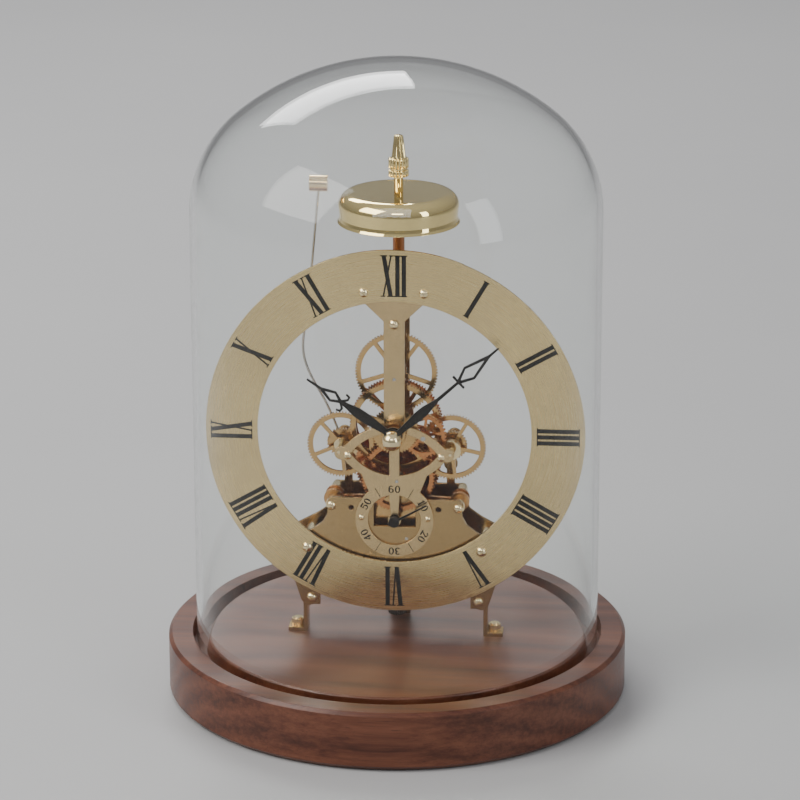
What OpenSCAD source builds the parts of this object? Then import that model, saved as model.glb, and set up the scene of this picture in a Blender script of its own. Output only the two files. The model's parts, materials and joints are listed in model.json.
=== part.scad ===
// Skeleton clock under a glass dome, on a turned walnut base.
// Millimetres. +Z is up, the dial faces -Y, and the origin is under the centre of the base.
// The movement is drawn in the dial's own plane: x to the right and z up from the hub of the
// hands, with depth counted from the back face of the chapter ring towards the back of the clock.

/* [Base and dome] */
// Diameter of the wooden base
base_d = 228; // [222:1:250]
// Height of the base's top above the table
base_h = 30; // [26:1:34]
// Outer diameter of the glass dome
dome_d = 200; // [198:1:202]
// Height of the dome from its rim to its crown
dome_h = 296; // [292:1:330]
// Thickness of the glass
glass_t = 3; // [2.5:0.1:3.5]

/* [Dial] */
// Height of the hands' hub above the table
hub_z = 137; // [136:0.5:139]
// Outer diameter of the chapter ring
ring_d = 185; // [182:0.5:186]
// Inner diameter of the chapter ring
ring_hole_d = 134; // [133:0.5:136]
// Height of the hour numerals
numeral_h = 20.5; // [17:0.5:21]
// Hour that the hands show
show_hour = 10; // [0:1:11]
// Minute that the hands show
show_minute = 7.9; // [0:0.1:59.9]
// Second that the small hand shows
show_second = 10.1; // [0:0.1:59.9]

/* [Movement] */
// Depth of the chapter ring's back face from the centre of the base
front_y = -14; // [-16:0.5:-12]
// Thickness of the front and back plates
plate_t = 2; // [1.8:0.1:2]
// Thickness of the great wheels and train wheels
wheel_t = 1.4; // [1.2:0.1:1.4]
// Radial clearance of a pivot or arbor in its hole
run_gap = 0.05; // [0.03:0.01:0.08]

/* [Bell] */
// Diameter of the bell's mouth
bell_d = 60; // [56:1:61]
// Height of the bell
bell_h = 15; // [14:0.5:17]

/* [Hidden] */
$fn = 64;

gold = [0.86, 0.74, 0.50];
pale_gold = [0.90, 0.82, 0.64];
brass = [0.80, 0.58, 0.36];
copper_brass = [0.72, 0.45, 0.28];
steel = [0.70, 0.71, 0.73];
black = [0.06, 0.06, 0.06];
walnut = [0.42, 0.22, 0.13];

// Depths from the chapter ring's back face
ring_t = 1.5;
bridge_t = 1.6;
plate_d = bridge_t;
mid_d = 12;
mid_t = 1.6;
rail_d = 17.9;
rail_t = 1.5;
back_d = 30;

// Tooth counts and modules
gear_m = 0.5;
fine_m = 1 / 3;
cannon_m = 0.6;
hour_m = 0.48;
centre_n = 90;
upper_n = 80;
side_n = 66;
upper_pinion_n = 18;
side_pinion_n = 28;
third_n = 64;
third_m = 0.56;
third_pinion_n = 12;
seconds_pinion_n = 8;
escape_drive_n = 60;
escape_pinion_n = 10;
escape_n = 15;
great_n = 84;
centre_pinion_n = 12;
cannon_n = 12;
minute_n = 36;
minute_pinion_n = 12;
hour_n = 48;
ratchet_n = 24;

// A point at a distance and an angle from another, counter-clockwise as seen from the front
function polar(r, a, from = [0, 0]) = [from[0] + r * cos(a), from[1] + r * sin(a)];
function bearing(a, b) = atan2(b[1] - a[1], b[0] - a[0]);
function centres(na, nb, m) = (na + nb) * m / 2;
// Where two circles cross, on the left or right (side 1 or -1) of the line from p to q
function crossing(p, rp, q, rq, side) =
  let(d = norm(q - p), a = (rp * rp - rq * rq + d * d) / (2 * d), h = sqrt(rp * rp - a * a))
  let(u = (q - p) / d)
  [p[0] + u[0] * a - side * u[1] * h, p[1] + u[1] * a + side * u[0] * h];
// An outline's points in counter-clockwise order, so that touching outlines join into one
function area(points) = let(n = len(points))
  [for (i = [0 : n - 1]) cross(points[i], points[(i + 1) % n])] * [for (i = [0 : n - 1]) 0.5];
function ordered(points) = area(points) > 0
  ? points : [for (i = [len(points) - 1 : -1 : 0]) points[i]];
// Angle of a tooth of gear b that puts it in mesh with gear a, whose tooth stands at angle pa
function mesh_phase(pa, na, nb, a, b) =
  let(t = bearing(a, b)) t + 180 + (t - pa) * na / nb - 180 / nb;

// Axes of the train, from the hub
hub = [0, 0];
upper = [0, centres(centre_n, upper_pinion_n, gear_m)];
side_tilt = 22;
left = polar(centres(centre_n, side_pinion_n, gear_m), 180 + side_tilt);
right = polar(centres(centre_n, side_pinion_n, gear_m), -side_tilt);
seconds = [0, -45.6];
third = crossing(hub, centres(centre_n, third_pinion_n, gear_m),
                 seconds, centres(third_n, seconds_pinion_n, third_m), 1);
escape = polar(centres(escape_drive_n, escape_pinion_n, fine_m), -60, seconds);
pallet = polar(7.8, -150, escape);
balance = polar(12, -160, pallet);
barrel_at = [0, -centres(great_n, centre_pinion_n, gear_m)];
motion = polar(centres(cannon_n, minute_n, cannon_m), -12);
hammer_at = [-25.6, -26];
click_at = [-12, -41];

// Angles of one tooth of each gear, so that every pair is in mesh as drawn
upper_pinion_a = mesh_phase(0, centre_n, upper_pinion_n, hub, upper);
left_pinion_a = mesh_phase(0, centre_n, side_pinion_n, hub, left);
right_pinion_a = mesh_phase(0, centre_n, side_pinion_n, hub, right);
third_pinion_a = mesh_phase(0, centre_n, third_pinion_n, hub, third);
seconds_pinion_a = mesh_phase(0, third_n, seconds_pinion_n, third, seconds);
escape_pinion_a = mesh_phase(0, escape_drive_n, escape_pinion_n, seconds, escape);
great_a = mesh_phase(0, centre_pinion_n, great_n, hub, barrel_at);
minute_wheel_a = mesh_phase(0, cannon_n, minute_n, hub, motion);
hour_wheel_a = mesh_phase(0, minute_pinion_n, hour_n, motion, hub);

// Turns of the hands from twelve o'clock, clockwise
minute_turn = show_minute * 6;
hour_turn = show_hour * 30 + show_minute / 2;
second_turn = show_second * 6;

// Points that screws and pillars share
strap_screw = [0, 55];
top_dial_screw = [14.6, 71.2];
low_dial_screw = [43, -60.4];
upper_pillar = [31.3, -39.3];
leg_screw = [41.4, -88];
post_screws = [68, 76];
lens_screw = [22.9, -12.6];
seconds_screw = [16.4, -44.6];
bottom_pillar = [0, -75];

// Lens-shaped frame around the hub
lens_z = -11.5;
lens_half = 27;
lens_rise = 15;
lens_band = 4;
seconds_r = 19.25;
seconds_hole_r = 13.1;

// ---------- placing ----------

// Extrudes a shape drawn in the dial's plane, from one depth towards the back
module slab(depth, t) {
  translate([0, front_y + depth + t, hub_z])
    rotate([90, 0, 0])
      linear_extrude(t)
        children();
}

// A round rod between two depths
module rod(p, from, to, r) {
  translate([p[0], front_y + from, hub_z + p[1]])
    rotate([-90, 0, 0])
      cylinder(h = to - from, r = r);
}

module both_sides() {
  children();
  mirror([1, 0, 0])
    children();
}

// A polygon whose points may run either way round
module outline(points) {
  polygon(ordered(points));
}

// ---------- gears ----------

function involute(rb, r) = let(a = acos(min(1, rb / r))) tan(a) * 180 / PI - a;
// Half of a tooth's angle at radius r
function tooth_half(n, m, r, share) =
  let(rp = n * m / 2, rb = rp * cos(20))
  180 * share / n + involute(rb, rp) - involute(rb, max(r, rb));
// Radii at which a flank is drawn
function flank_radii(n, m, add, ded, steps) =
  let(rp = n * m / 2, ra = rp + add * m, rf = rp - ded * m, rb = max(rp * cos(20), rf + 0.02 * m))
  concat([rf], [for (i = [0 : steps]) rb + (ra - rb) * i / steps]);
function gear_outline(n, m, a0, add, ded, steps) =
  let(radii = flank_radii(n, m, add, ded, steps), last = len(radii) - 1)
  [for (k = [0 : n - 1])
    for (i = [0 : 2 * last + 1])
      let(r = radii[i <= last ? i : 2 * last + 1 - i], h = tooth_half(n, m, r, 0.43))
      polar(r, a0 + 360 * k / n + (i <= last ? -h : h))];

// Teeth stand at angle a0 and tip is their height in modules. A wheel's short flanks have two
// chords and a pinion's have four.
module wheel_outline(n, m, a0, tip = 0.68) {
  polygon(gear_outline(n, m, a0, tip, 1.05, 2));
}

module pinion_outline(n, m, a0, hole) {
  difference() {
    polygon(gear_outline(n, m, a0, 0.68, 1.1, 4));
    circle(r = hole / cos(15), $fn = 12);
  }
}

// One opening between two spokes of even width
function spoke_window(inner, outer, spoke, share) =
  let(steps = 10)
  let(out_a = share / 2 - asin(spoke / 2 / outer), in_a = share / 2 - asin(spoke / 2 / inner))
  concat([for (i = [0 : steps]) polar(outer, -out_a + 2 * out_a * i / steps)],
         [for (i = [0 : 3]) polar(inner, in_a - 2 * in_a * i / 3)]);

// A five-spoke wheel, flat all over
module spoked_wheel(n, m, a0, rim, boss, hole, spoke, spoke_a, tip = 0.68) {
  spokes = 5;
  root = n * m / 2 - 1.05 * m;
  difference() {
    wheel_outline(n, m, a0, tip);
    for (k = [0 : spokes - 1])
      rotate(spoke_a + 360 * (k + 0.5) / spokes)
        polygon(spoke_window(boss, root - rim, spoke, 360 / spokes));
    circle(r = hole / cos(15), $fn = 12);
  }
}

// ---------- screws ----------

// Domed, slotted head that looks towards -Y, with its shank behind it
module dome_screw(p, depth, r, shank_r, shank, slot_a) {
  head_h = 0.62 * r;
  ball = (r * r + head_h * head_h) / (2 * head_h);
  translate([p[0], front_y + depth, hub_z + p[1]])
    rotate([90, 0, 0]) {
      difference() {
        intersection() {
          cylinder(h = head_h + 0.1, r = r);
          translate([0, 0, head_h - ball])
            sphere(r = ball);
        }
        rotate(slot_a)
          translate([-r, -0.3, head_h - 0.55])
            cube([2 * r, 0.6, 1]);
      }
      translate([0, 0, -shank])
        cylinder(h = shank, r = shank_r);
    }
}

// ---------- base and dome ----------

groove_in = dome_d / 2 - 7.5;
groove_out = dome_d / 2 + 2;
groove_depth = 8;
chamfer = 1.7;
pad_t = 0.8;

module base() {
  color(walnut)
    difference() {
      rotate_extrude($fn = 128)
        polygon([
          [0, pad_t],
          [base_d / 2 - 2, pad_t],
          [base_d / 2, pad_t + 2],
          [base_d / 2, base_h - chamfer],
          [base_d / 2 - chamfer, base_h],
          [groove_out, base_h],
          [groove_out, base_h - groove_depth],
          [groove_in, base_h - groove_depth],
          [groove_in, base_h - 0.8],
          [groove_in - 0.8, base_h],
          [0, base_h]
        ]);
      for (p = foot_points)
        translate([p[0], p[1], base_h - bolt_len])
          cylinder(h = bolt_len + 1, r = bolt_r);
    }
}

module base_pad() {
  color([0.12, 0.12, 0.12])
    cylinder(h = pad_t, r = base_d / 2 - 8);
}

// Half profile of the dome at its outer (inset 0) or inner surface: a straight wall, a shoulder
// arc and a flatter crown arc that run into each other
cap_rise = 73;
shoulder_r = 58;
crown_r = (pow(dome_d / 2 - shoulder_r, 2) + pow(cap_rise, 2) - pow(shoulder_r, 2))
  / (2 * (cap_rise - shoulder_r));
module dome_profile(inset) {
  wall = dome_d / 2;
  spring = dome_h - cap_rise;
  crown_z = dome_h - crown_r;
  shoulder = [wall - shoulder_r, spring];
  meet_a = atan2(spring - crown_z, wall - shoulder_r);
  meet_x = (crown_r - inset) * cos(meet_a);
  square([wall - inset, spring]);
  translate(shoulder)
    circle(r = shoulder_r - inset);
  intersection() {
    translate([0, crown_z])
      circle(r = crown_r - inset);
    translate([0, spring - 1])
      square([meet_x, cap_rise + 2]);
  }
}

dome_z = base_h - groove_depth + 0.4;
module glass_dome() {
  color([0.85, 0.93, 0.90, 0.25])
    translate([0, 0, dome_z])
      rotate_extrude($fn = 180)
        difference() {
          intersection() {
            dome_profile(0);
            square([dome_d, dome_h + 1]);
          }
          translate([0, -1])
            square([dome_d / 2 - glass_t, 2]);
          intersection() {
            dome_profile(glass_t);
            square([dome_d, dome_h + 1]);
          }
        }
}

// ---------- dial ----------

module chapter_ring() {
  color(gold)
    difference() {
      slab(-ring_t, ring_t)
        difference() {
          circle(r = ring_d / 2, $fn = 180);
          circle(r = ring_hole_d / 2, $fn = 180);
        }
      both_sides() {
        rod(top_dial_screw, -ring_t - 1, 1, 1.3);
        rod(low_dial_screw, -ring_t - 1, 1, 1.3);
      }
    }
}

// Letters of the hour numerals: widths, and thick and thin strokes with hairline serifs
letter_w = [3.1, 6.6, 6.8];
thick = 2.1;
thin = 0.75;
serif = 0.5;
hours = [
  [2, 0, 0], [0], [0, 0], [0, 0, 0], [0, 0, 0, 0], [1], [1, 0], [1, 0, 0], [1, 0, 0, 0],
  [0, 2], [2], [2, 0]
];
function run(letters, upto) = upto == 0 ? 0 : letter_w[letters[upto - 1]] + run(letters, upto - 1);

module serif_bar(x, y, w) {
  translate([x - w / 2, y])
    square([w, serif]);
}

module slant(x0, x1, w) {
  polygon([[x0 - w / 2, 0], [x0 + w / 2, 0], [x1 + w / 2, numeral_h], [x1 - w / 2, numeral_h]]);
}

module letter(kind) {
  w = letter_w[kind];
  if (kind == 0) {
    slant(w / 2, w / 2, thick);
    serif_bar(w / 2, 0, w);
    serif_bar(w / 2, numeral_h - serif, w);
  }
  if (kind == 1) {
    slant(w * 0.55, w * 0.25, thick);
    slant(w * 0.62, w * 0.82, thin);
    serif_bar(w * 0.25, numeral_h - serif, 3.6);
    serif_bar(w * 0.82, numeral_h - serif, 2.4);
  }
  if (kind == 2) {
    slant(w * 0.75, w * 0.25, thick);
    slant(w * 0.22, w * 0.78, thin);
    serif_bar(w * 0.25, numeral_h - serif, 3.4);
    serif_bar(w * 0.80, numeral_h - serif, 2.2);
    serif_bar(w * 0.20, 0, 2.2);
    serif_bar(w * 0.75, 0, 3.4);
  }
}

numeral_t = 0.2;
low_head_r = 2.6;
module hour_numerals() {
  foot_r = (ring_d + ring_hole_d) / 4 - numeral_h / 2;
  color(black)
    difference() {
      slab(-ring_t - numeral_t, numeral_t)
        for (h = [0 : 11])
          rotate(-30 * h)
            translate([-run(hours[h], len(hours[h])) / 2, foot_r])
              for (i = [0 : len(hours[h]) - 1])
                translate([run(hours[h], i), 0])
                  letter(hours[h][i]);
      both_sides()
        rod(low_dial_screw, -ring_t - 1, 0, low_head_r + 0.1);
    }
}

module dial_screws() {
  color(pale_gold) {
    dome_screw(top_dial_screw, -ring_t, 2.4, 1.3, ring_t + bridge_t, 35);
    dome_screw([-top_dial_screw[0], top_dial_screw[1]], -ring_t, 2.4, 1.3, ring_t + bridge_t, -40);
    dome_screw(low_dial_screw, -ring_t, low_head_r, 1.3, ring_t, 20);
    dome_screw([-low_dial_screw[0], low_dial_screw[1]], -ring_t, low_head_r, 1.3, ring_t, 70);
  }
}

// ---------- front bridge: strap, lens and seconds ring in one plate ----------

module lens(half, rise) {
  r = (half * half + rise * rise) / (2 * rise);
  intersection() {
    translate([0, lens_z - (r - rise)])
      circle(r = r, $fn = 96);
    translate([0, lens_z + (r - rise)])
      circle(r = r, $fn = 96);
  }
}

module bridge_outline() {
  flare_z = sqrt(pow(ring_hole_d / 2, 2) - pow(14.3, 2));
  difference() {
    union() {
      outline([[-5.1, 0], [-5.1, 56.5], [-14.3, flare_z], [-19, 76], [19, 76], [14.3, flare_z],
               [5.1, 56.5], [5.1, 0]]);
      circle(r = 6.5);
      difference() {
        lens(lens_half, lens_rise);
        lens(lens_half - 5.5, lens_rise - lens_band);
      }
      for (s = [-1, 1])
        translate([s * (lens_half - 1), lens_z])
          circle(r = 3.4);
      translate([-2.45, -24])
        square([4.9, 24]);
      outline([[-12.4, -31.4], [-16, -22.4], [16, -22.4], [12.4, -31.4]]);
      translate(seconds)
        circle(r = seconds_r, $fn = 96);
    }
    translate(seconds)
      circle(r = seconds_hole_r, $fn = 96);
  }
  outline([[-2.6, -31.5], [2.6, -31.5], [1.7, seconds[1]], [-1.7, seconds[1]]]);
  translate(seconds)
    circle(r = 3.3);
}

hour_pipe_r = 2.8;
pivot_r = 0.8;

module front_bridge() {
  color(gold)
    difference() {
      slab(0, bridge_t)
        bridge_outline();
      rod(hub, -1, bridge_t + 1, hour_pipe_r + run_gap);
      rod(upper, -1, bridge_t + 1, pivot_r + run_gap);
      rod(left, -1, bridge_t + 1, pivot_r + run_gap);
      rod(right, -1, bridge_t + 1, pivot_r + run_gap);
      rod(third, -1, bridge_t + 1, pivot_r + run_gap);
      rod(seconds, -1, bridge_t + 1, 1 + run_gap);
      rod(motion, -1, bridge_t + 1, 1.2);
      rod(strap_screw, -1, bridge_t + 1, 1.5);
      both_sides() {
        rod(top_dial_screw, -1, bridge_t + 1, 1.3);
        rod(lens_screw, -1, bridge_t + 1, 1.1);
        rod(seconds_screw, -1, bridge_t + 1, 0.9);
      }
    }
}

// Figures of the seconds ring: heavy sides, thin tops and feet, all measured from the lower left
figure_w = 2.7;
figure_h = 3.7;
figure_gap = 0.45;
figure_heavy = 0.72;
figure_thin = 0.36;

// Part of an oval band, heavy at its sides and thin at its top and foot
module oval(centre, rx, ry, start, end) {
  polygon([
    for (a = [start : 15 : end]) centre + [rx * cos(a), ry * sin(a)],
    for (a = [end : -15 : start]) centre + [(rx - figure_heavy) * cos(a), (ry - figure_thin) * sin(a)]
  ]);
}

module stroke(a, b, w) {
  translate(a)
    rotate(bearing(a, b))
      translate([0, -w / 2])
        square([norm(b - a), w]);
}

module round_nought() {
  oval([figure_w / 2, figure_h / 2], figure_w / 2, figure_h / 2, 0, 180);
  oval([figure_w / 2, figure_h / 2], figure_w / 2, figure_h / 2, 180, 360);
}

module figure(n) {
  middle = figure_w / 2;
  bowl = 1.12;
  bowl_at = [middle, bowl];
  if (n == 0)
    round_nought();
  if (n == 1) {
    stroke([middle, 0], [middle, figure_h], figure_heavy);
    stroke([middle - 0.8, figure_thin / 2], [middle + 0.8, figure_thin / 2], figure_thin);
    stroke([middle - 0.85, figure_h - 0.75], [middle, figure_h - 0.25], figure_thin);
  }
  if (n == 2) {
    oval([middle, figure_h - bowl], middle, bowl, 0, 165);
    stroke([figure_w - figure_heavy / 2, figure_h - bowl + 0.1], [0.45, 0.3], figure_heavy * 0.75);
    stroke([0, figure_heavy / 2], [figure_w, figure_heavy / 2], figure_heavy);
  }
  if (n == 3) {
    oval([middle - 0.1, figure_h - 0.95], middle - 0.1, 0.95, -90, 150);
    oval([middle, bowl], middle, bowl, -150, 90);
  }
  if (n == 4) {
    stroke([middle + 0.45, 0], [middle + 0.45, figure_h], figure_heavy);
    stroke([middle + 0.45, figure_h - 0.2], [0.15, 1.25], figure_thin);
    stroke([0, 1.15], [figure_w, 1.15], figure_thin);
  }
  if (n == 5) {
    stroke([0.4, figure_h - figure_heavy / 2], [figure_w - 0.2, figure_h - figure_heavy / 2], figure_heavy);
    stroke([0.55, figure_h], [0.45, 1.75], figure_thin);
    oval([middle, bowl + 0.1], middle, bowl + 0.1, -150, 135);
  }
  if (n == 6) {
    oval([middle, figure_h / 2], middle, figure_h / 2, 45, 210);
    oval(bowl_at, middle, bowl, 0, 180);
    oval(bowl_at, middle, bowl, 180, 360);
  }
}

module seconds_markings() {
  tick_in = seconds_hole_r + 0.5;
  color(black)
    slab(-0.15, 0.15)
      translate(seconds)
        for (k = [0 : 5]) {
          rotate(-60 * k)
            translate([0, (seconds_r + seconds_hole_r) / 2 - figure_h / 2]) {
              translate([-figure_w - figure_gap / 2, 0])
                figure(k == 0 ? 6 : k);
              translate([figure_gap / 2, 0])
                figure(0);
            }
          if (k % 3 != 1)
            rotate(-60 * k - 30)
              translate([-0.14, tick_in])
                square([0.28, seconds_r - tick_in - 0.4]);
        }
}

// ---------- plates ----------

// Lower plate, shared by the front and the back of the movement
module plate_outline(top) {
  polygon([
    [-17, top], [-31, top], [-32.4, top - 0.6], [-33, top - 2],
    [-33.4, top - 9], [-35.5, top - 13], [-41, top - 17], [-52, top - 23], [-53, top - 32],
    [-49.5, -80], [-46.6, -89.4], [-45, -91.6], [-42.8, -92.4], [-40.6, -91.6], [-39, -89.4],
    [-36, -80], [-30, -79], [30, -79], [36, -80],
    [39, -89.4], [40.6, -91.6], [42.8, -92.4], [45, -91.6], [46.6, -89.4], [49.5, -80],
    [53, top - 32], [52, top - 23], [41, top - 17], [35.5, top - 13], [33.4, top - 9],
    [33, top - 2], [32.4, top - 0.6], [31, top], [17, top]
  ]);
}

notch_half = 10.4;
notch_z = -49.6;
plate_top = -35;
plate_low = -79;
pillar_tenon_r = 2;

module front_plate() {
  color(pale_gold)
    difference() {
      slab(plate_d, plate_t)
        difference() {
          plate_outline(plate_top);
          translate([-notch_half, notch_z])
            square([2 * notch_half, 30]);
        }
      for (p = [escape, pallet, balance])
        rod(p, 0, 8, pivot_r + run_gap);
      rod(bottom_pillar, 0, 8, 1.5);
      both_sides() {
        rod(low_dial_screw, 0, 8, pillar_tenon_r);
        rod(upper_pillar, 0, 8, 1.5);
        rod(leg_screw, 0, 8, 1.5);
        rod(seconds_screw, 0, 8, 0.9);
        rod([21.5, -40.2], 0, 8, 1.4);
      }
    }
}

module train_plate() {
  color(brass)
    difference() {
      slab(mid_d, mid_t) {
        outline([
          [-32, -42], [-9, -40], [-7, -21], [8, -21], [10, -40], [32, -42], [27, -71], [-27, -71]
        ]);
        for (s = [-1, 1])
          translate([s * upper_pillar[0], upper_pillar[1]])
            circle(r = 4.8);
      }
      for (p = [third, seconds, escape, pallet, balance])
        rod(p, mid_d - 1, mid_d + 3, pivot_r + run_gap);
      both_sides()
        rod(upper_pillar, mid_d - 1, mid_d + 3, 3);
    }
}

module barrel_bridge() {
  color(brass)
    difference() {
      slab(rail_d, rail_t) {
        outline([
          [-31, -39.5], [-12, -39], [-6, -24], [6, -24], [12, -39], [31, -39.5],
          [31, -44], [-31, -44]
        ]);
        for (s = [-1, 1])
          translate([s * upper_pillar[0], upper_pillar[1]])
            circle(r = 4.6);
        translate(barrel_at)
          circle(r = 6);
      }
      rod(barrel_at, rail_d - 1, rail_d + 3, 1.5 + run_gap);
      both_sides()
        rod(upper_pillar, rail_d - 1, rail_d + 3, 3);
    }
}

module back_plate() {
  color(gold)
    difference() {
      slab(back_d, plate_t) {
        difference() {
          plate_outline(plate_top - 1.5);
          translate([-60, plate_low - 20])
            square([120, 20]);
        }
        translate([-17.5, -50])
          square([35, 13.5]);
        translate([-5.1, -45])
          square([10.2, 126]);
        translate(barrel_at)
          circle(r = 7);
        circle(r = 7);
        for (s = [-1, 1]) {
          translate([s * 25.6 - 2, -40])
            square([4, 30]);
          translate([s * right[0], right[1]])
            circle(r = 3.6);
          translate([s * hammer_at[0], hammer_at[1]])
            circle(r = 3.4);
        }
      }
      rod(hub, back_d - 1, back_d + 3, 1.5 + run_gap);
      rod(barrel_at, back_d - 1, back_d + 3, 2.5 + run_gap);
      for (p = [upper, left, right])
        rod(p, back_d - 1, back_d + 3, pivot_r + run_gap);
      rod(hammer_at, back_d - 1, back_d + 3, 1.5);
      rod(click_at, back_d - 1, back_d + 3, 1.2);
      rod(strap_screw, back_d - 1, back_d + 3, 1.5);
      rod(bottom_pillar, back_d - 1, back_d + 3, 1.5);
      for (z = post_screws)
        rod([0, z], back_d - 1, back_d + 3, 1.2);
      both_sides() {
        rod(low_dial_screw, back_d - 1, back_d + 3, 1.5);
        rod(upper_pillar, back_d - 1, back_d + 3, 1.5);
      }
    }
}

pillar_front = plate_d + plate_t;
module pillars() {
  color(pale_gold) {
    rod(strap_screw, bridge_t, back_d, 3);
    rod(bottom_pillar, pillar_front, back_d, 3);
    both_sides() {
      rod(upper_pillar, pillar_front, back_d, 3);
      rod(low_dial_screw, pillar_front, back_d, 3.4);
      rod(low_dial_screw, 0, pillar_front, pillar_tenon_r);
    }
  }
}

// Screws that hold the bridge and the plates to their pillars, front and back
module plate_screws() {
  color(pale_gold) {
    dome_screw(strap_screw, 0, 2.5, 1.5, bridge_t, 40);
    for (s = [-1, 1]) {
      dome_screw([s * lens_screw[0], lens_screw[1]], 0, 2.1, 1.1, bridge_t, 30 * s);
      rod([s * lens_screw[0], lens_screw[1]], bridge_t, bridge_t + 1.4, 2.1);
      dome_screw([s * upper_pillar[0], upper_pillar[1]], plate_d, 2.4, 1.5, plate_t, 50 * s);
      dome_screw([s * seconds_screw[0], seconds_screw[1]], 0, 1.5, 0.9, bridge_t + plate_t, 0);
    }
    dome_screw(bottom_pillar, plate_d, 2.4, 1.5, plate_t, 15);
    for (p = [strap_screw, upper_pillar, low_dial_screw])
      for (s = p[0] == 0 ? [1] : [-1, 1])
        rear_screw([s * p[0], p[1]], back_d + plate_t, 2.5, 1.5);
    for (z = post_screws)
      rear_screw([0, z], back_d + plate_t, 2.2, 1.2, post_bite);
  }
}

// A cheese-head screw that looks to the rear from a depth, its shank reaching further than the plate
module rear_screw(p, depth, r, shank_r, reach = 0) {
  difference() {
    rod(p, depth, depth + 1.3, r);
    translate([p[0] - r, front_y + depth + 0.8, hub_z + p[1] - 0.3])
      cube([2 * r, 1, 0.6]);
  }
  rod(p, back_d - reach, depth, shank_r);
}

// ---------- legs ----------

leg_t = 2;
leg_w = 9;
foot_l = 9.6;
bolt_r = 1.6;
bolt_len = 12;
bolt_head_r = 3.1;
foot_z = base_h - hub_z;
web_x = leg_screw[0] + 2.4;
foot_x = web_x + leg_t + bolt_head_r + 0.2;
foot_y = front_y + pillar_front + leg_w / 2;
rear_leg_d = back_d + plate_t;
rear_leg_w = 10;
rear_foot_y = front_y + rear_leg_d + leg_t + bolt_head_r + 0.2;
foot_points = [[-foot_x, foot_y], [foot_x, foot_y], [0, rear_foot_y]];

// Front leg, a bent strip: flange on the plate, upright edge-on to the front, foot turned outwards
module front_leg() {
  difference() {
    union() {
      slab(pillar_front, leg_t)
        translate([leg_screw[0] - 4, leg_screw[1] - 4.4])
          square([web_x - leg_screw[0] + 6, 8.4]);
      slab(pillar_front, leg_w)
        polygon([
          [web_x, foot_z], [web_x + foot_l, foot_z],
          [web_x + foot_l, foot_z + leg_t], [web_x + leg_t, foot_z + leg_t],
          [web_x + leg_t, leg_screw[1] + 4], [web_x, leg_screw[1] + 4]
        ]);
    }
    rod(leg_screw, pillar_front - 1, pillar_front + leg_t + 1, 1.5);
    translate([foot_x, foot_y, base_h - 1])
      cylinder(h = leg_t + 2, r = bolt_r);
  }
}

// Rear leg: an upright strip behind the back plate, its foot turned to the rear
module rear_leg() {
  difference() {
    translate([-rear_leg_w / 2, front_y + rear_leg_d, base_h])
      union() {
        cube([rear_leg_w, leg_t, bottom_pillar[1] + 5 - foot_z]);
        cube([rear_leg_w, leg_t + 2 * bolt_head_r + 1, leg_t]);
      }
    rod(bottom_pillar, rear_leg_d - 1, rear_leg_d + leg_t + 1, 1.5);
    translate([0, rear_foot_y, base_h - 1])
      cylinder(h = leg_t + 2, r = bolt_r);
  }
}

module legs() {
  color(gold) {
    both_sides()
      front_leg();
    rear_leg();
  }
}

module leg_screws() {
  color(pale_gold) {
    for (s = [-1, 1])
      dome_screw([s * leg_screw[0], leg_screw[1]], plate_d, 2.5, 1.5, plate_t + leg_t, 25 * s);
    rear_screw(bottom_pillar, rear_leg_d + leg_t, 2.5, 1.5);
  }
}

// Knurled bolts that hold the feet down to the base
module foot_bolts() {
  head = base_h + leg_t;
  color(pale_gold)
    for (p = foot_points)
      translate([p[0], p[1], 0]) {
        translate([0, 0, head])
          linear_extrude(3.4)
            polygon([for (k = [0 : 39]) polar(k % 2 == 0 ? bolt_head_r : bolt_head_r - 0.3, 9 * k)]);
        translate([0, 0, head + 3.4])
          cylinder(h = 0.6, r = 2.2);
        translate([0, 0, head - bolt_len])
          cylinder(h = bolt_len, r = bolt_r);
      }
}

module levelling_knob() {
  knob_y = front_y + (pillar_front + back_d) / 2;
  low = hub_z + bottom_pillar[1];
  color([0.12, 0.10, 0.09])
    translate([0, knob_y, 0]) {
      translate([0, 0, low - 21.5])
        cylinder(h = 18.5, r = 1.2);
      translate([0, 0, low - 25.5])
        linear_extrude(4)
          polygon([for (k = [0 : 47]) polar(k % 2 == 0 ? 4.6 : 4.3, 7.5 * k)]);
    }
}

// ---------- bell and hammer ----------

bell_z = 99.5;
post_r = 2.9;
post_low = 64;
post_bite = 1.6;
bell_d_back = back_d - post_r;
bell_wall = 1.2;
bell_seat = bell_z + bell_h - bell_wall;
shoulder = 6.5;

// Outer or inner half profile of the bell: flat crown, round shoulder, upright skirt, turned-out lip
bell_r = bell_d / 2 - 0.5;
bell_waist = bell_r - 0.6;
module bell_profile(inset) {
  arc_x = bell_r - shoulder;
  arc_z = bell_h - shoulder;
  square([arc_x, bell_h - inset]);
  translate([arc_x, arc_z])
    intersection() {
      circle(r = shoulder - inset);
      square([shoulder + 1, shoulder + 1]);
    }
  polygon([
    [arc_x, 0], [bell_r + 0.5 - inset, 0], [bell_r - 0.3 - inset, 1.2],
    [bell_waist - inset, 3], [bell_r - inset, arc_z], [arc_x, arc_z]
  ]);
}

module on_bell_axis() {
  translate([0, front_y + bell_d_back, hub_z])
    children();
}

module bell_post() {
  color(copper_brass)
    on_bell_axis() {
      difference() {
        translate([0, 0, post_low])
          cylinder(h = bell_seat - post_low, r = post_r);
        for (z = post_screws)
          translate([0, post_r - post_bite, z])
            rotate([-90, 0, 0])
              cylinder(h = 3, r = 1.2);
      }
      translate([0, 0, bell_seat])
        cylinder(h = bell_wall + 2, r = 1.4);
    }
}

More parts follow.
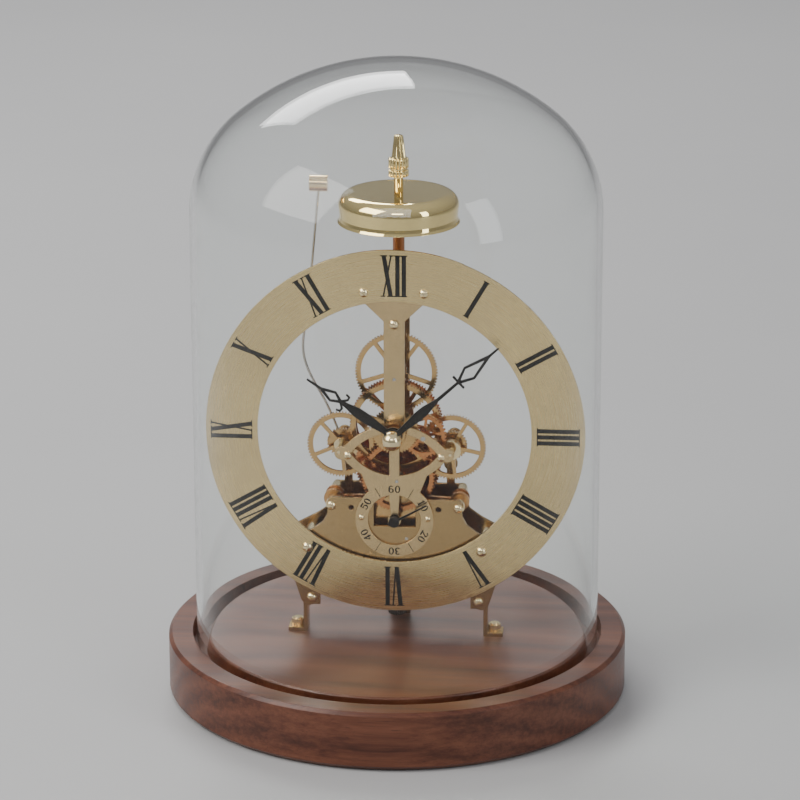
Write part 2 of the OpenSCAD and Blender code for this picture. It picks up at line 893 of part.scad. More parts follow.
module bell() {
  color([0.93, 0.80, 0.50])
    on_bell_axis()
      translate([0, 0, bell_z])
        difference() {
          rotate_extrude($fn = 120)
            difference() {
              bell_profile(0);
              bell_profile(bell_wall);
              translate([0, -1])
                square([bell_waist - bell_wall, 1.5]);
            }
          translate([0, 0, bell_h - 3])
            cylinder(h = 6, r = 1.4);
        }
}

// Turned finial with two fluted bands, screwed on over the bell
module bell_finial() {
  top = bell_z + bell_h;
  neck = 7.9;
  flutes = [for (k = [0 : 35]) polar(k % 2 == 0 ? 5 : 4.4, 10 * k)];
  color([0.93, 0.80, 0.50])
    on_bell_axis()
      difference() {
        translate([0, 0, top])
          union() {
            cylinder(h = neck, r = 2.2);
            translate([0, 0, neck])
              linear_extrude(3.3)
                polygon(flutes);
            translate([0, 0, neck + 3.3])
              cylinder(h = 0.9, r = 3.6);
            translate([0, 0, neck + 4.2])
              linear_extrude(4.4)
                polygon(flutes);
            translate([0, 0, neck + 8.6])
              cylinder(h = 11.3, r1 = 3.5, r2 = 2.2);
          }
        translate([0, 0, top - 1])
          cylinder(h = 4, r = 1.4);
      }
}

hammer_hub_d = back_d + plate_t + 0.6;
wire_d = 36;
wire_r = 0.65;

module hammer_stud() {
  color(steel) {
    rod(hammer_at, back_d, hammer_hub_d + 4.4, 1.5);
    rod(hammer_at, hammer_hub_d + 4.4, hammer_hub_d + 5.4, 2.4);
    rod(click_at, back_d, hammer_hub_d + 2.2, 1.2);
    rod(click_at, hammer_hub_d + 2.2, hammer_hub_d + 2.8, 1.8);
  }
}

// The hammer's wire bows outwards behind the ring and comes back in to the head
wire_path = [
  [-30.5, -14], [-33.5, -6], [-38, 4], [-43, 13], [-47, 22], [-48.6, 31], [-47.6, 42], [-45.6, 56],
  [-43.8, 74], [-42, 93], [-40.6, 108], [-40, 113]
];
hammer_head = [-40, 115.4];
head_l = 8.8;
wire_sides = 10;

// Direction of the wire at a point of its path
function wire_turn(i) =
  bearing(wire_path[max(i - 1, 0)], wire_path[min(i + 1, len(wire_path) - 1)]);

module hammer_wire() {
  last = len(wire_path) - 1;
  points = [for (i = [0 : last]) for (k = [0 : wire_sides - 1])
    let(p = polar(wire_r * cos(360 * k / wire_sides), wire_turn(i) - 90, wire_path[i]))
    [p[0], front_y + wire_d + wire_r * sin(360 * k / wire_sides), hub_z + p[1]]];
  sides = [for (i = [0 : last - 1]) for (k = [0 : wire_sides - 1])
    let(n = (k + 1) % wire_sides, a = i * wire_sides, b = a + wire_sides)
    [a + k, b + k, b + n, a + n]];
  color(steel)
    polyhedron(
      points,
      concat([[for (k = [0 : wire_sides - 1]) k]], sides,
             [[for (k = [wire_sides - 1 : -1 : 0]) last * wire_sides + k]]));
}

module hammer() {
  color(pale_gold)
    difference() {
      union() {
        translate([hammer_head[0] - head_l / 2, front_y + wire_d, hub_z + hammer_head[1]])
          rotate([0, 90, 0])
            cylinder(h = head_l, r = 4.1);
        slab(hammer_hub_d, 4.2) {
          translate(hammer_at)
            circle(r = 3.6);
          outline([[-28.6, -24], [-32.4, -14.6], [-28.9, -13.2], [-24, -22.8]]);
          outline([[-27, -22.8], [-6.9, -5.4], [-5.6, -6.8], [-23, -28]]);
        }
      }
      rod(hammer_at, back_d, back_d + 12, 1.5 + run_gap);
    }
}

// ---------- centre arbor and hands ----------

front_centre_d = 9.2;
rear_centre_d = 15.4;
centre_pinion_d = 19.8;
arbor_r = 1.5;
cannon_r = 2.2;
cam_d = 33;

module centre_arbor() {
  color(steel) {
    rod(hub, -12, back_d + plate_t + 5, arbor_r);
    rod(hub, -7.6, 8.2, cannon_r);
  }
  color(brass) {
    rod(hub, 8.2, front_centre_d, 4.4);
    rod(hub, front_centre_d, front_centre_d + wheel_t + 0.6, 2.5);
    rod(hub, front_centre_d + wheel_t + 0.6, rear_centre_d, 2.2);
    rod(hub, rear_centre_d + wheel_t, rear_centre_d + wheel_t + 1.2, 4.4);
    rod(hub, rear_centre_d, rear_centre_d + wheel_t, 2.5);
    rod(hub, cam_d - 0.4, cam_d, 3);
  }
}

module front_centre_wheel() {
  color(brass)
    slab(front_centre_d, wheel_t)
      spoked_wheel(centre_n, gear_m, 0, 2.2, 4.6, 2.5, 2, 90);
  color(brass)
    slab(4.4, 1.6)
      pinion_outline(cannon_n, cannon_m, 0, cannon_r);
}

module rear_centre_wheel() {
  color(copper_brass) {
    slab(rear_centre_d, wheel_t)
      spoked_wheel(centre_n, gear_m, 0, 2.2, 4.6, 2.5, 2, 60);
    slab(centre_pinion_d, 2.4)
      pinion_outline(centre_pinion_n, gear_m, 0, arbor_r);
  }
}

// Snail that lifts the hammer once an hour
module strike_cam() {
  color(pale_gold)
    slab(cam_d, 1.8)
      difference() {
        outline([for (i = [0 : 35]) polar(3.6 + 3.6 * i / 35, -10 * i)]);
        circle(r = arbor_r / cos(15), $fn = 12);
      }
}

// Minute hand: a leaf, a thin stem, a cross bar, an open kite and a fine tip
module kite_hand(length) {
  kite_low = length * 0.64;
  kite_mid = length * 0.727;
  kite_end = length * 0.915;
  difference() {
    union() {
      circle(r = 4.2);
      outline([[-1.2, 3], [-1.6, 9], [-2.4, 17], [-2.2, 22], [-0.8, 29], [-0.6, kite_low],
               [0.6, kite_low], [0.8, 29], [2.2, 22], [2.4, 17], [1.6, 9], [1.2, 3]]);
      translate([-3.9, kite_low - 1.6])
        square([7.8, 1]);
      outline([[-0.6, kite_low - 2], [-4, kite_mid], [-0.6, kite_end], [-0.4, length],
               [0.4, length], [0.6, kite_end], [4, kite_mid], [0.6, kite_low - 2]]);
    }
    polygon([[0, kite_low + 0.2], [-2.8, kite_mid], [0, kite_end - 3.2], [2.8, kite_mid]]);
  }
}

module minute_hand() {
  color(black)
    difference() {
      slab(-9, 1)
        rotate(-minute_turn)
          kite_hand(69.5);
      rod(hub, -10, -7, arbor_r);
    }
}

// Polished ball that holds the hands on, flat and drilled at the back
module hand_nut() {
  ball_d = -13.2;
  flat = ball_d + 9;
  color(pale_gold)
    translate([0, front_y + ball_d, hub_z])
      rotate([90, 0, 0])
        rotate_extrude()
          difference() {
            intersection() {
              circle(r = 4.9);
              translate([0, flat])
                square([6, 12]);
            }
            translate([0, flat - 1])
              square([arbor_r, 4]);
          }
}

// Hour hand: stout body, side scrolls and an open leaf before the tip
module scroll_hand(length) {
  kite_low = length * 0.62;
  kite_mid = length * 0.70;
  kite_end = length * 0.84;
  difference() {
    union() {
      circle(r = 4.6);
      outline([[-1.4, 3], [-1.9, 9], [-2.5, 15], [-2.5, 21], [-1.3, 27], [-0.75, kite_low],
               [0.75, kite_low], [1.3, 27], [2.5, 21], [2.5, 15], [1.9, 9], [1.4, 3]]);
      for (s = [-1, 1])
        outline([[s * 0.4, 29.8], [s * 2.4, 27.8], [s * 4.5, 28], [s * 5, 30.4], [s * 4.3, 30.6],
                 [s * 3.8, 28.9], [s * 2.7, 28.9], [s * 0.4, 31.4]]);
      outline([[-0.6, kite_low - 1], [-3, kite_mid], [-0.6, kite_end], [-0.4, length],
               [0.4, length], [0.6, kite_end], [3, kite_mid], [0.6, kite_low - 1]]);
    }
    polygon([[0, kite_low + 0.9], [-1.9, kite_mid], [0, kite_end - 2.2], [1.9, kite_mid]]);
  }
}

module hour_hand() {
  color(black)
    difference() {
      slab(-6.6, 1)
        rotate(-hour_turn)
          scroll_hand(50.5);
      rod(hub, -8, -4, hour_pipe_r);
    }
}

hour_wheel_d = 2.4;
hour_wheel_t = 1.2;
module hour_pipe() {
  color(brass)
    difference() {
      union() {
        rod(hub, -6.6, hour_wheel_d + hour_wheel_t, hour_pipe_r);
        rod(hub, -5.6, -4.4, 4.6);
        rod(hub, -4.4, -1, 3.6);
        rod(hub, bridge_t + 0.2, hour_wheel_d, 4.6);
      }
      rod(hub, -8, 8, cannon_r + run_gap);
    }
}

module hour_wheel() {
  color(brass) {
    slab(hour_wheel_d, hour_wheel_t)
      difference() {
        wheel_outline(hour_n, hour_m, hour_wheel_a);
        circle(r = hour_pipe_r / cos(15), $fn = 12);
      }
    slab(-2.6, 1.6)
      difference() {
        wheel_outline(30, 0.4, 0);
        circle(r = 3.6 / cos(15), $fn = 12);
      }
  }
}

module motion_stud() {
  color(steel) {
    rod(motion, 0, 7.2, 1.2);
    rod(motion, 6.3, 6.8, 1.9);
    rod(motion, bridge_t, bridge_t + 0.4, 1.9);
  }
}

minute_bush_r = 2;
module minute_wheel() {
  color(brass)
    difference() {
      rod(motion, 2.1, 6, minute_bush_r);
      rod(motion, 0, 8, 1.2 + run_gap);
    }
  color(copper_brass) {
    slab(4.6, 1.2)
      translate(motion)
        spoked_wheel(minute_n, cannon_m, minute_wheel_a, 1.5, 3.4, minute_bush_r, 1.4, 10);
    slab(2.2, 2.4)
      translate(motion)
        pinion_outline(minute_pinion_n, hour_m, 0, minute_bush_r);
  }
}

// ---------- upper and side wheels ----------

side_wheel_d = 12;
side_pinion_d = 14.9;

// An arbor with a pivot in each plate, a shoulder before its wheel and one behind its pinion
module train_arbor(p, front, back, wheel_d, wheel_back, hub_r) {
  rod(p, front, back, pivot_r);
  rod(p, front + 2.2, back - 2.6, 1.2);
  rod(p, wheel_d - 1, wheel_d, hub_r);
  rod(p, wheel_d, wheel_back, 2);
}

module upper_arbor() {
  color(steel)
    train_arbor(upper, 0, back_d + plate_t, side_wheel_d, side_pinion_d, 3.4);
}

module upper_wheel() {
  color(brass) {
    slab(side_wheel_d, wheel_t)
      translate(upper)
        spoked_wheel(upper_n, gear_m, 0, 2, 3.6, 2, 1.9, 54);
    slab(side_pinion_d, 2.4)
      translate(upper)
        pinion_outline(upper_pinion_n, gear_m, upper_pinion_a, 1.2);
  }
}

module left_arbor() {
  color(steel)
    train_arbor(left, 0, back_d + plate_t, side_wheel_d, side_pinion_d, 3.4);
}

module left_wheel() {
  color(brass) {
    slab(side_wheel_d, wheel_t)
      translate(left)
        spoked_wheel(side_n, gear_m, 0, 2, 3.6, 2, 1.7, 60);
    slab(side_pinion_d, 2.4)
      translate(left)
        pinion_outline(side_pinion_n, gear_m, left_pinion_a, 1.2);
  }
}

module right_arbor() {
  color(steel)
    train_arbor(right, 0, back_d + plate_t, side_wheel_d, side_pinion_d, 3.4);
  color(gold)
    rod(right, side_wheel_d - 5.4, side_wheel_d - 1, 4.8);
}

module right_wheel() {
  color(brass) {
    slab(side_wheel_d, wheel_t)
      translate(right)
        spoked_wheel(side_n, gear_m, 0, 2, 3.6, 2, 1.7, 60);
    slab(side_pinion_d, 2.4)
      translate(right)
        pinion_outline(side_pinion_n, gear_m, right_pinion_a, 1.2);
  }
}

// ---------- seconds train ----------

third_wheel_d = 7;
third_pinion_d = 8.9;
third_t = 1.2;
seconds_pinion_d = 6.6;
seconds_pinion_t = 2.2;

module third_arbor() {
  color(steel) {
    rod(third, 0, mid_d + mid_t, pivot_r);
    rod(third, 2.6, mid_d - 0.5, 1.1);
    rod(third, third_wheel_d - 1, third_wheel_d, 3.2);
    rod(third, third_wheel_d, third_pinion_d, 1.8);
  }
}

module third_wheel() {
  color(copper_brass) {
    slab(third_wheel_d, third_t)
      translate(third)
        spoked_wheel(third_n, third_m, 0, 1.8, 3.4, 1.8, 1.7, 20, 0.48);
    slab(third_pinion_d, 2)
      translate(third)
        pinion_outline(third_pinion_n, gear_m, third_pinion_a, 1.1);
  }
}

escape_drive_d = 9.2;
module seconds_arbor() {
  color(steel) {
    rod(seconds, -3.4, bridge_t + 0.6, 1);
    rod(seconds, bridge_t + 0.6, mid_d - 0.5, 1.1);
    rod(seconds, mid_d - 0.5, mid_d + mid_t, pivot_r);
    rod(seconds, seconds_pinion_d + seconds_pinion_t, escape_drive_d, 2);
  }
}

module seconds_wheel() {
  color(brass) {
    slab(seconds_pinion_d, seconds_pinion_t)
      translate(seconds)
        pinion_outline(seconds_pinion_n, third_m, seconds_pinion_a, 1.1);
    slab(escape_drive_d, 1)
      translate(seconds)
        difference() {
          wheel_outline(escape_drive_n, fine_m, 0, 0.58);
          circle(r = 1.1 / cos(15), $fn = 12);
        }
  }
}

module seconds_hand() {
  color(black)
    difference() {
      union() {
        slab(-3, 0.7)
          translate(seconds)
            rotate(-second_turn)
              polygon([[-0.65, 0], [-0.3, 18.4], [0.3, 18.4], [0.65, 0], [0.8, -3.2], [-0.8, -3.2]]);
        rod(seconds, -3.8, -1.4, 2.6);
      }
      rod(seconds, -3.4, -1, 1);
    }
}

// ---------- barrel and winding ----------

great_d = 20.2;
drum_r = 14;
drum_back = 28.4;
ratchet_d = back_d + plate_t + 0.4;

module barrel() {
  color(gold)
    difference() {
      union() {
        rod(barrel_at, great_d + wheel_t, drum_back, drum_r);
        rod(barrel_at, drum_back, drum_back + 0.9, 5);
        rod(barrel_at, great_d - 0.4, great_d + wheel_t, 5);
      }
      rod(barrel_at, great_d + wheel_t + 1, drum_back - 1, drum_r - 1.2);
      rod(barrel_at, great_d - 1, drum_back + 2, 1.5 + run_gap);
    }
}

module great_wheel() {
  color(copper_brass)
    slab(great_d, wheel_t)
      translate(barrel_at)
        difference() {
          wheel_outline(great_n, gear_m, great_a);
          circle(r = 5 / cos(15), $fn = 12);
        }
}

module winding_arbor() {
  color(steel) {
    rod(barrel_at, rail_d, back_d - 0.4, 1.5);
    rod(barrel_at, drum_back + 1.2, back_d + plate_t, 2.5);
    rod(barrel_at, back_d + plate_t, ratchet_d + 1.4, 2.1);
    slab(ratchet_d + 1.4, 8)
      translate(barrel_at)
        square(3, center = true);
  }
}

// Ratchet teeth: steep on one side so that the click holds them
module ratchet_wheel() {
  color(steel)
    slab(ratchet_d, 1.4)
      translate(barrel_at)
        difference() {
          outline([for (k = [0 : ratchet_n - 1]) for (s = [0, 1])
            polar(s == 0 ? 6.6 : 7.6, 360 * (k + (s == 0 ? 0 : 0.12)) / ratchet_n)]);
          circle(r = 2.1 / cos(15), $fn = 12);
        }
}

module click() {
  tip = polar(8.2, 215, barrel_at);
  color(steel)
    difference() {
      slab(ratchet_d, 1.4) {
        translate(click_at)
          circle(r = 2.2);
        outline([[click_at[0] - 1.9, click_at[1] + 1], [tip[0] - 0.8, tip[1] + 0.4], tip,
                 [click_at[0] + 1.9, click_at[1] + 0.8]]);
      }
      rod(click_at, back_d, back_d + 8, 1.2 + run_gap);
    }
}

// ---------- escapement ----------

escape_wheel_d = 6.6;
escape_r = 5.2;

module escape_arbor() {
  color(steel) {
    rod(escape, plate_d, mid_d + mid_t, pivot_r);
    rod(escape, pillar_front + 0.4, mid_d - 0.5, 0.95);
    rod(escape, escape_wheel_d + 0.8, escape_wheel_d + 1.4, 1.9);
  }
}

module escape_wheel() {
  color(gold) {
    slab(escape_wheel_d, 0.8)
      translate(escape)
        difference() {
          outline([for (k = [0 : escape_n - 1]) for (s = [0, 1, 2])
            polar(s == 0 ? 3.9 : escape_r, 360 * (k + (s == 0 ? 0 : 0.42 + 0.06 * s)) / escape_n)]);
          circle(r = 0.95 / cos(15), $fn = 12);
        }
    slab(8.9, 1.6)
      translate(escape)
        pinion_outline(escape_pinion_n, fine_m, escape_pinion_a, 0.95);
  }
}

// Lever with two pallets on the escape wheel's side and a fork on the balance's side
module lever() {
  along = bearing(pallet, escape);
  away = bearing(pallet, balance);
  color(steel) {
    slab(escape_wheel_d, 0.8)
      translate(pallet) {
        circle(r = 1.5, $fn = 12);
        for (s = [-1, 1])
          rotate(along + s * 62)
            translate([0, -0.55])
              square([4.2, 1.1]);
        for (s = [-1, 1])
          outline([polar(4.2, along + 62 * s), polar(3.2, along + 62 * s),
                   polar(3.7, along + 49 * s), polar(4.4, along + 49 * s)]);
        rotate(away)
          translate([0, -0.6])
            square([6.6, 1.2]);
        rotate(away)
          for (s = [-1, 1])
            translate([6.4, s * 1.1 - 0.4])
              square([2.2, 0.8]);
        rotate(away)
          translate([6, -1.5])
            square([0.8, 3]);
      }
    rod(pallet, plate_d, mid_d + mid_t, pivot_r);
  }
}

balance_r = 9.3;
balance_d = 10;
module balance_wheel() {
  color(gold) {
    difference() {
      rod(balance, balance_d, balance_d + 1.2, balance_r);
      rod(balance, balance_d - 1, balance_d + 2, balance_r - 1.2);
    }
    slab(balance_d, 1.2)
      translate(balance)
        rotate(20)
          difference() {
            square([2 * balance_r - 1.6, 1.4], center = true);
            circle(r = 0.9);
          }
  }
  color(steel) {
    rod(balance, plate_d, mid_d + mid_t, pivot_r);
    rod(balance, pillar_front + 0.4, mid_d - 0.4, 0.95);
    rod(balance, escape_wheel_d + 0.9, escape_wheel_d + 1.5, 2.4);
  }
}

// Flat spiral spring around the balance staff
module hairspring() {
  turns = 5;
  steps = 90;
  inner = 1.2;
  pitch = 0.75;
  strip = 0.16;
  function spiral_r(i) = inner + pitch * turns * i / steps;
  color([0.35, 0.45, 0.65])
    slab(4.6, 0.6)
      translate(balance) {
        outline(concat(
          [for (i = [0 : steps]) polar(spiral_r(i), 360 * turns * i / steps)],
          [for (i = [steps : -1 : 0]) polar(spiral_r(i) + strip, 360 * turns * i / steps)]));
        difference() {
          circle(r = 1.4, $fn = 12);
          circle(r = 0.96 / cos(15), $fn = 12);
        }
      }
}

base();
base_pad();
glass_dome();
chapter_ring();
hour_numerals();
dial_screws();
front_bridge();
seconds_markings();
front_plate();
train_plate();
barrel_bridge();
back_plate();
pillars();
plate_screws();
legs();
leg_screws();
foot_bolts();
levelling_knob();
bell_post();
bell();
bell_finial();
hammer_stud();
hammer();
hammer_wire();
centre_arbor();
front_centre_wheel();
rear_centre_wheel();
strike_cam();
minute_hand();
hand_nut();
hour_pipe();
hour_wheel();
hour_hand();
motion_stud();
minute_wheel();
upper_arbor();
upper_wheel();
left_arbor();
left_wheel();
right_arbor();
right_wheel();
third_arbor();
third_wheel();
seconds_arbor();
seconds_wheel();
seconds_hand();
barrel();
great_wheel();
winding_arbor();
ratchet_wheel();
click();
escape_arbor();
escape_wheel();
lever();
balance_wheel();
hairspring();
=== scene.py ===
"""Looks of a skeleton clock under a glass dome: materials, smooth pieces, light and camera.

Everything is in metres in the frame of the CAD model: +Z up, the dial faces -Y.
"""
import json
import math

import bmesh
import bpy
from mathutils import Matrix, Vector


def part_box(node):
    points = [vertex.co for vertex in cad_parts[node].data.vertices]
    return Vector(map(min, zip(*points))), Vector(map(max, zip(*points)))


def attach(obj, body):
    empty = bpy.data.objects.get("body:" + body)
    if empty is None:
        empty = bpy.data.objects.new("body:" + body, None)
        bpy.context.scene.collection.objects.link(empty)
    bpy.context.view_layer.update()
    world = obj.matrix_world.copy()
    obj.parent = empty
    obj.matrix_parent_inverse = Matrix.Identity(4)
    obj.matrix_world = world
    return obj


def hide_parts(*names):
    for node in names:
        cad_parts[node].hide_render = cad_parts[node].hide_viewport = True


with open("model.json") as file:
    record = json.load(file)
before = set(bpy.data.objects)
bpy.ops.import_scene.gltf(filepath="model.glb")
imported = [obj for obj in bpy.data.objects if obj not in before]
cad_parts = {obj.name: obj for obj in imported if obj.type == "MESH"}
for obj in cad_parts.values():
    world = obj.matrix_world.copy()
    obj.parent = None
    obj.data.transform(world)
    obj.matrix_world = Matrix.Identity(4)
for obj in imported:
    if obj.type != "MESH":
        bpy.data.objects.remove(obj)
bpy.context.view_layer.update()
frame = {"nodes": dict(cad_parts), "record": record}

MM = 0.001
NODES = frame["nodes"]

# Sockets of a colour Mix node, which has some of the same name for other kinds of value
COLOUR_A, COLOUR_B, COLOUR_RESULT = 6, 7, 2


# ---------- places taken from the frame ----------

def centre_of(node):
    low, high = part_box(node)
    return (low + high) / 2


HUB = centre_of("chapter_ring")


# ---------- node trees ----------

class Material:
    """One procedural material. Coordinates are millimetres in the clock's own frame."""

    def __init__(self, name):
        self.data = bpy.data.materials.new(name)
        self.data.use_nodes = True
        self.tree = self.data.node_tree
        self.shader = self.tree.nodes["Principled BSDF"]
        self.output = self.tree.nodes["Material Output"]

    def add(self, kind, **settings):
        node = self.tree.nodes.new(kind)
        for key, value in settings.items():
            setattr(node, key, value)
        return node

    def feed(self, socket, value):
        """Links an output to a socket, or sets a plain value on it."""
        if isinstance(value, bpy.types.NodeSocket):
            self.tree.links.new(value, socket)
        else:
            socket.default_value = value

    def surface(self, **values):
        """Sets the shader's inputs, named with underscores."""
        for key, value in values.items():
            self.feed(self.shader.inputs[key.replace("_", " ")], value)

    def position(self, scale, origin=(0, 0, 0)):
        """Millimetres from origin, times scale along each axis."""
        coords = self.add("ShaderNodeTexCoord")
        mapping = self.add("ShaderNodeMapping")
        factors = [s / MM for s in scale]
        mapping.inputs["Scale"].default_value = factors
        mapping.inputs["Location"].default_value = [-o * f for o, f in zip(origin, factors)]
        self.feed(mapping.inputs["Vector"], coords.outputs["Object"])
        return mapping.outputs["Vector"]

    def math(self, operation, a, b=0.0):
        node = self.add("ShaderNodeMath", operation=operation)
        self.feed(node.inputs[0], a)
        self.feed(node.inputs[1], b)
        return node.outputs[0]

    def vector(self, operation, a, b=(0, 0, 0)):
        node = self.add("ShaderNodeVectorMath", operation=operation)
        self.feed(node.inputs[0], a)
        self.feed(node.inputs[1], b)
        return node.outputs["Value" if operation == "LENGTH" else "Vector"]

    def noise(self, vector, detail=3.0, roughness=0.5, distortion=0.0):
        node = self.add("ShaderNodeTexNoise")
        self.feed(node.inputs["Vector"], vector)
        self.feed(node.inputs["Scale"], 1.0)
        self.feed(node.inputs["Detail"], detail)
        self.feed(node.inputs["Roughness"], roughness)
        self.feed(node.inputs["Distortion"], distortion)
        return node.outputs["Fac"]

    def spread(self, value, low, high, start=0.3, end=0.7):
        """Maps a noise value from start..end to low..high."""
        node = self.add("ShaderNodeMapRange")
        self.feed(node.inputs["Value"], value)
        self.feed(node.inputs["From Min"], start)
        self.feed(node.inputs["From Max"], end)
        self.feed(node.inputs["To Min"], low)
        self.feed(node.inputs["To Max"], high)
        return node.outputs["Result"]

    def ramp(self, value, stops):
        node = self.add("ShaderNodeValToRGB")
        elements = node.color_ramp.elements
        while len(elements) < len(stops):
            elements.new(0.5)
        for element, (place, colour) in zip(elements, stops):
            element.position = place
            element.color = (*colour, 1)
        self.feed(node.inputs["Fac"], value)
        return node.outputs["Color"]

    def mix(self, factor, a, b, blend="MIX"):
        node = self.add("ShaderNodeMix", data_type="RGBA", blend_type=blend)
        self.feed(node.inputs["Factor"], factor)
        self.feed(node.inputs[COLOUR_A], a if not isinstance(a, tuple) else (*a, 1))
        self.feed(node.inputs[COLOUR_B], b if not isinstance(b, tuple) else (*b, 1))
        return node.outputs[COLOUR_RESULT]

    def bump(self, height, strength, depth, normal=None):
        node = self.add("ShaderNodeBump")
        self.feed(node.inputs["Height"], height)
        self.feed(node.inputs["Strength"], strength)
        self.feed(node.inputs["Distance"], depth * MM)
        if normal is not None:
            self.feed(node.inputs["Normal"], normal)
        return node.outputs["Normal"]

    def soft_edges(self, radius):
        """A normal that rounds the edges over a radius in millimetres."""
        node = self.add("ShaderNodeBevel", samples=4)
        self.feed(node.inputs["Radius"], radius * MM)
        return node.outputs["Normal"]


def shade(colour, factor):
    return tuple(min(1.0, channel * factor) for channel in colour)


# ---------- metals ----------

# How fast tarnish and finish change, per millimetre
CLOUDS = (0.045, 0.045, 0.045)
SPECKS = (0.35, 0.35, 0.35)
TURNED_ACROSS = 5.0
TURNED_AROUND = 0.03
# Painted shade: colour factor for the parts set back behind the front plate
PAINTED_RECESS_SHADE = (0.72, 0.66, 0.58)


def metal(name, colour, roughness, grain=(0.5, 0.5, 0.5), depth=0.004, turned=False,
          anisotropy=0.0, tarnish=None, patchy=0.10, edge=0.12, streak=0.35, painted_shade_from_y=None):
    """Gilt, brass or steel with a fine finish, faint tarnish and softened edges.

    grain is how fast the finish changes along x, y and z, per millimetre. A turned finish runs
    in circles about the hub instead. Behind a given plane of y the colour is darkened: painted
    shade on the recessed parts.
    """
    m = Material(name)
    if turned:
        flat = m.vector("MULTIPLY", m.position((1, 1, 1), HUB), (1, 0, 1))
        radius = m.vector("LENGTH", flat)
        rings = m.add("ShaderNodeCombineXYZ")
        m.feed(rings.inputs["X"], m.math("MULTIPLY", radius, TURNED_ACROSS))
        around = m.add("ShaderNodeSeparateXYZ")
        m.feed(around.inputs["Vector"], flat)
        m.feed(rings.inputs["Y"], m.math("MULTIPLY", around.outputs["X"], TURNED_AROUND))
        m.feed(rings.inputs["Z"], m.math("MULTIPLY", around.outputs["Z"], TURNED_AROUND))
        finish = m.noise(rings.outputs["Vector"], detail=4, roughness=0.65)
    else:
        finish = m.noise(m.position(grain), detail=4, roughness=0.6)
    cloud = m.noise(m.position(CLOUDS), detail=3, roughness=0.6)
    fine = m.noise(m.position(SPECKS), detail=4, roughness=0.6)
    base = m.mix(m.spread(cloud, 0, 1), shade(colour, 1 - patchy), shade(colour, 1 + patchy / 2))
    dull = tarnish or shade(colour, 0.72)
    base = m.mix(m.spread(fine, 0, 0.30, 0.52, 0.75), base, dull)
    base = m.mix(m.spread(finish, 0, streak, 0.35, 0.75), base, shade(colour, 0.86))
    # Painted shade: darker colour behind the given plane of y, where the recessed parts sit
    if painted_shade_from_y is not None:
        depths = m.add("ShaderNodeSeparateXYZ")
        m.feed(depths.inputs["Vector"], m.position((1, 1, 1)))
        in_painted_shade = m.math("GREATER_THAN", depths.outputs["Y"], painted_shade_from_y / MM)
        base = m.mix(in_painted_shade, base, m.mix(1.0, base, PAINTED_RECESS_SHADE, "MULTIPLY"))
    rough = m.math("ADD", m.spread(finish, roughness * 0.75, roughness * 1.25),
                   m.spread(cloud, -0.03, 0.04))
    rounded = m.soft_edges(edge)
    m.surface(Metallic=1.0, Base_Color=base, Roughness=rough, Anisotropic=anisotropy,
              Normal=m.bump(finish, 0.5, depth, rounded))
    if anisotropy:
        tangent = m.add("ShaderNodeTangent", direction_type="RADIAL", axis="Y")
        m.feed(m.shader.inputs["Tangent"], tangent.outputs["Tangent"])
    return m.data


def enamel():
    """Gloss black paint with faint orange peel and a soft bloom."""
    m = Material("black_paint")
    peel = m.noise(m.position((1.4, 1.4, 1.4)), detail=2)
    cloud = m.noise(m.position((0.2, 0.2, 0.2)), detail=4)
    colour = m.mix(m.spread(cloud, 0, 1), (0.004, 0.0035, 0.003), (0.012, 0.009, 0.008))
    m.surface(Base_Color=colour, Roughness=m.spread(cloud, 0.30, 0.46), Specular_IOR_Level=0.25,
              Normal=m.bump(peel, 0.3, 0.02, m.soft_edges(0.08)))
    return m.data


def felt():
    m = Material("felt")
    fibres = m.noise(m.position((3, 3, 3)), detail=5, roughness=0.75, distortion=0.8)
    m.surface(Base_Color=m.ramp(fibres, [(0.3, (0.010, 0.010, 0.011)), (0.75, (0.05, 0.05, 0.05))]),
              Roughness=0.95, Sheen_Weight=0.4, Normal=m.bump(fibres, 0.8, 0.3))
    return m.data


def walnut():
    """Oiled walnut: soft growth bands across Y, streaks and pores along X."""
    m = Material("walnut")
    drift = m.noise(m.position((0.0035, 0.016, 0.016)), detail=3, roughness=0.5)
    across = m.add("ShaderNodeSeparateXYZ")
    m.feed(across.inputs["Vector"], m.position((0.002, 0.035, 0.055)))
    count = m.math("ADD", across.outputs["Y"], m.math("MULTIPLY", drift, 4.0))
    count = m.math("ADD", count, across.outputs["Z"])
    bands = m.math("MULTIPLY", m.math("PINGPONG", count, 0.5), 2.0)
    streaks = m.noise(m.position((0.010, 0.42, 0.42)), detail=6, roughness=0.62)
    fibres = m.noise(m.position((0.035, 1.7, 1.7)), detail=4, roughness=0.6)
    figure = m.math("ADD", m.math("MULTIPLY", bands, 0.20), m.math("MULTIPLY", streaks, 0.62))
    figure = m.math("ADD", figure, m.math("MULTIPLY", fibres, 0.20))
    colour = m.ramp(figure, [
        (0.28, (0.034, 0.009, 0.004)),
        (0.42, (0.074, 0.021, 0.010)),
        (0.56, (0.118, 0.037, 0.018)),
        (0.74, (0.170, 0.060, 0.031)),
    ])
    pores = m.noise(m.position((0.07, 2.4, 2.4)), detail=2, roughness=0.5)
    pore = m.spread(pores, 0, 1, 0.62, 0.74)
    colour = m.mix(m.math("MULTIPLY", pore, 0.55), colour, (0.028, 0.010, 0.006))
    relief = m.math("SUBTRACT", m.math("MULTIPLY", streaks, 0.3), pore)
    m.surface(Base_Color=colour, Roughness=m.spread(streaks, 0.30, 0.42), Coat_Weight=0.2,
              Coat_Roughness=0.25, Specular_IOR_Level=0.35,
              Normal=m.bump(relief, 0.3, 0.05, m.soft_edges(0.6)))
    return m.data


